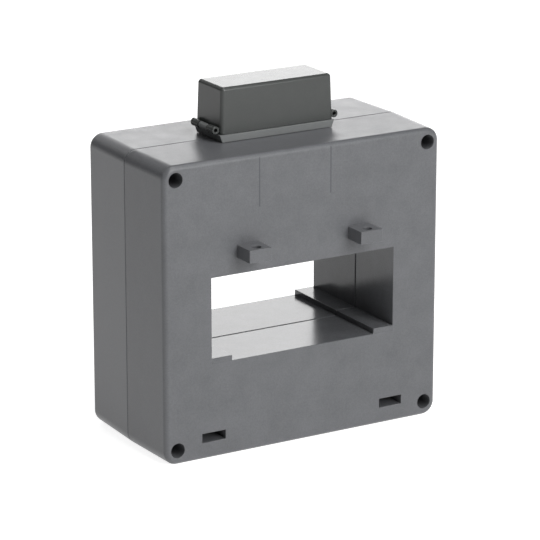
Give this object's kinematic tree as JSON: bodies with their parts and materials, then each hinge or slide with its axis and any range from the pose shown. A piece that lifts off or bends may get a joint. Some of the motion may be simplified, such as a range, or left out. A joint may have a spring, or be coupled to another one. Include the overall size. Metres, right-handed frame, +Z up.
{
  "type": "current transformer",
  "caption": "Window-type current transformer: square moulded housing split at mid-depth, stepped busbar window, screw lugs, foot slots and a lift-off sealable terminal cover.",
  "frame": {"origin": "middle of the flat underside, on the parting plane between the two shells", "axes": "+Z up, through the terminal cover; the front face with the two lugs looks along -Y, so a busbar passes through the window along Y; +X to the right seen from the front"},
  "size_m": [0.1234, 0.069, 0.1386],
  "materials": {
    "housing_plastic": "fine moulded texture, satin",
    "cover_plastic": "smooth moulded, satin",
    "base_plastic": "smooth moulded, satin",
    "cap_plastic": "natural moulded nylon",
    "core_steel": "wound silicon-steel strip",
    "copper_winding": "enamelled copper wire, in layers",
    "winding_tape": "polyester tape",
    "zinc_steel": "zinc-plated",
    "nickel_steel": "nickel-plated",
    "plated_brass": "nickel-plated brass",
    "lead_insulation": "smooth insulation"
  },
  "bodies": {
    "root": {"front_shell": "housing_plastic", "rear_shell": "housing_plastic", "housing_screw_top_left": "zinc_steel", "housing_screw_top_right": "zinc_steel", "housing_screw_bottom_left": "zinc_steel", "housing_screw_bottom_right": "zinc_steel", "core": "core_steel", "core_cap_front": "cap_plastic", "core_cap_rear": "cap_plastic", "coil_top": "copper_winding", "coil_bottom": "copper_winding", "coil_wrap_top": "winding_tape", "coil_wrap_bottom": "winding_tape", "terminal_base": "base_plastic", "terminal_bar_left": "plated_brass", "terminal_bar_right": "plated_brass", "lead_left": "lead_insulation", "lead_right": "lead_insulation"},
    "cover": {"terminal_cover": "cover_plastic"},
    "clamp_left": {"clamp_plate_left": "nickel_steel"},
    "screw_left": {"terminal_screw_left": "nickel_steel"},
    "clamp_right": {"clamp_plate_right": "nickel_steel"},
    "screw_right": {"terminal_screw_right": "nickel_steel"}
  },
  "joints": [
    {"name": "cover_lift", "type": "slide", "parent": "root", "child": "cover", "axis": [0, 0, 1], "range_m": [0, 0.03]},
    {"name": "clamp_lift_left", "type": "slide", "parent": "root", "child": "clamp_left", "axis": [0, 0, 1], "range_m": [0, 0.0028]},
    {"name": "screw_turn_left", "type": "hinge", "parent": "clamp_left", "child": "screw_left", "pos_m": [-0.011, 0.0009, 0.1249], "axis": [0, 0, 1], "range_deg": [0, 1440]},
    {"name": "clamp_lift_right", "type": "slide", "parent": "root", "child": "clamp_right", "axis": [0, 0, 1], "range_m": [0, 0.0028]},
    {"name": "screw_turn_right", "type": "hinge", "parent": "clamp_right", "child": "screw_right", "pos_m": [0.011, 0.0009, 0.1249], "axis": [0, 0, 1], "range_deg": [0, 1440]}
  ],
  "couplings": [
    {"joint": "screw_turn_left", "follows": "clamp_lift_left", "rad_per_m": 8976},
    {"joint": "screw_turn_right", "follows": "clamp_lift_right", "rad_per_m": 8976}
  ]
}
